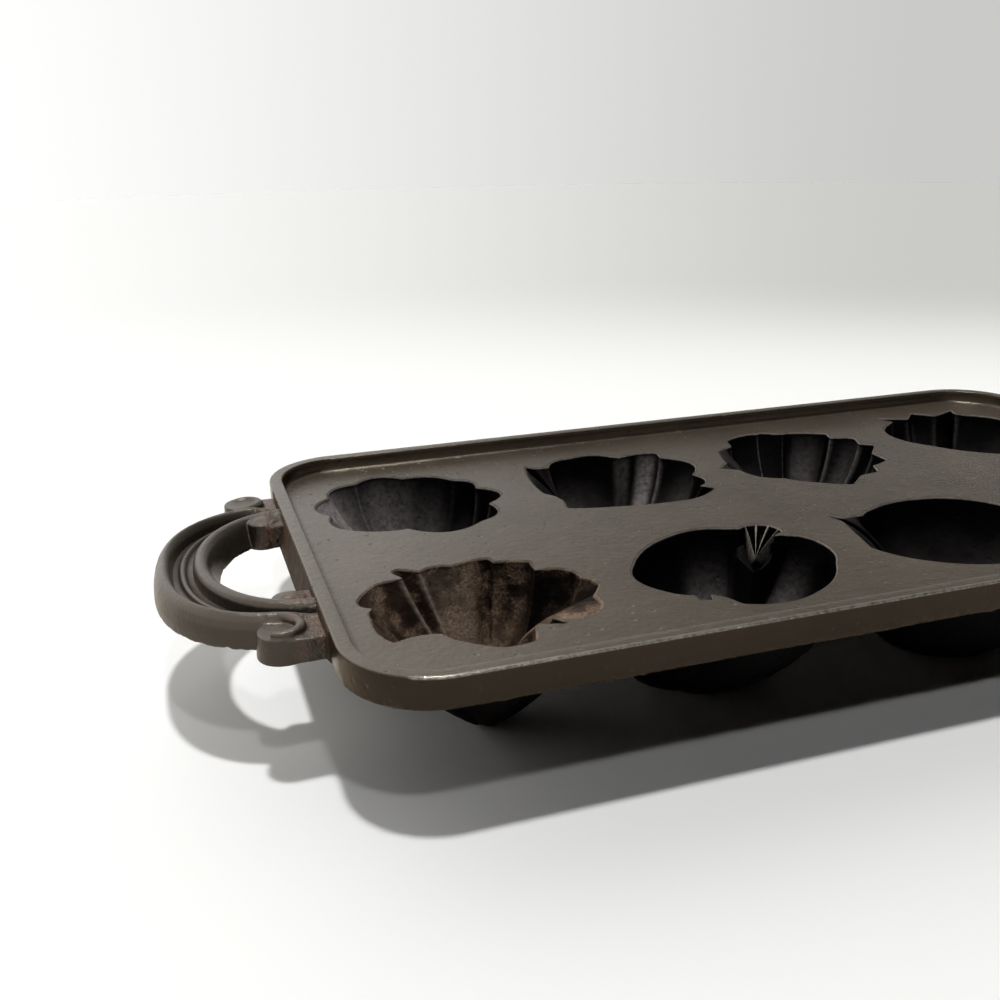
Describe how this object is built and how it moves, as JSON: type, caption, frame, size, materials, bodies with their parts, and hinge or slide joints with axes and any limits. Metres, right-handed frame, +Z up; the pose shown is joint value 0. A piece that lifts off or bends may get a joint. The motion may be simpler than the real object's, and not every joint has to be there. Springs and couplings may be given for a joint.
{
  "type": "fruit mould pan",
  "caption": "Rectangular cast iron baking pan with a raised rim, rows of fruit-shaped mould cups and an open scroll handle at each end.",
  "frame": {"origin": "under the centre of the plate, on the level that the feet of the cups stand on", "axes": "+X along the length of the plate from handle to handle, +Y across it, +Z up out of the mouths of the cups"},
  "size_m": [0.405, 0.18, 0.043],
  "materials": {
    "deck_iron": "sand-cast grain worn satin, warm grey with fine dark pits",
    "cup_iron": "as cast, seasoned nearly black",
    "rusty_cup_iron": "as cast, speckled with brown rust",
    "handle_iron": "as cast, worn satin on the high edges, rust at the root"
  },
  "bodies": {
    "root": {"deck_plate": "deck_iron", "rim": "deck_iron", "cup_melon": "cup_iron", "cup_berry": "cup_iron", "cup_pineapple": "cup_iron", "cup_strawberry": "cup_iron", "cup_grape_bunch": "rusty_cup_iron", "cup_apple": "cup_iron", "cup_plum": "cup_iron", "cup_pear": "cup_iron", "handle_left_root": "handle_iron", "handle_left_bow": "handle_iron", "handle_left_roll": "handle_iron", "handle_left_web": "handle_iron", "handle_right_root": "handle_iron", "handle_right_bow": "handle_iron", "handle_right_roll": "handle_iron", "handle_right_web": "handle_iron"}
  },
  "joints": []
}
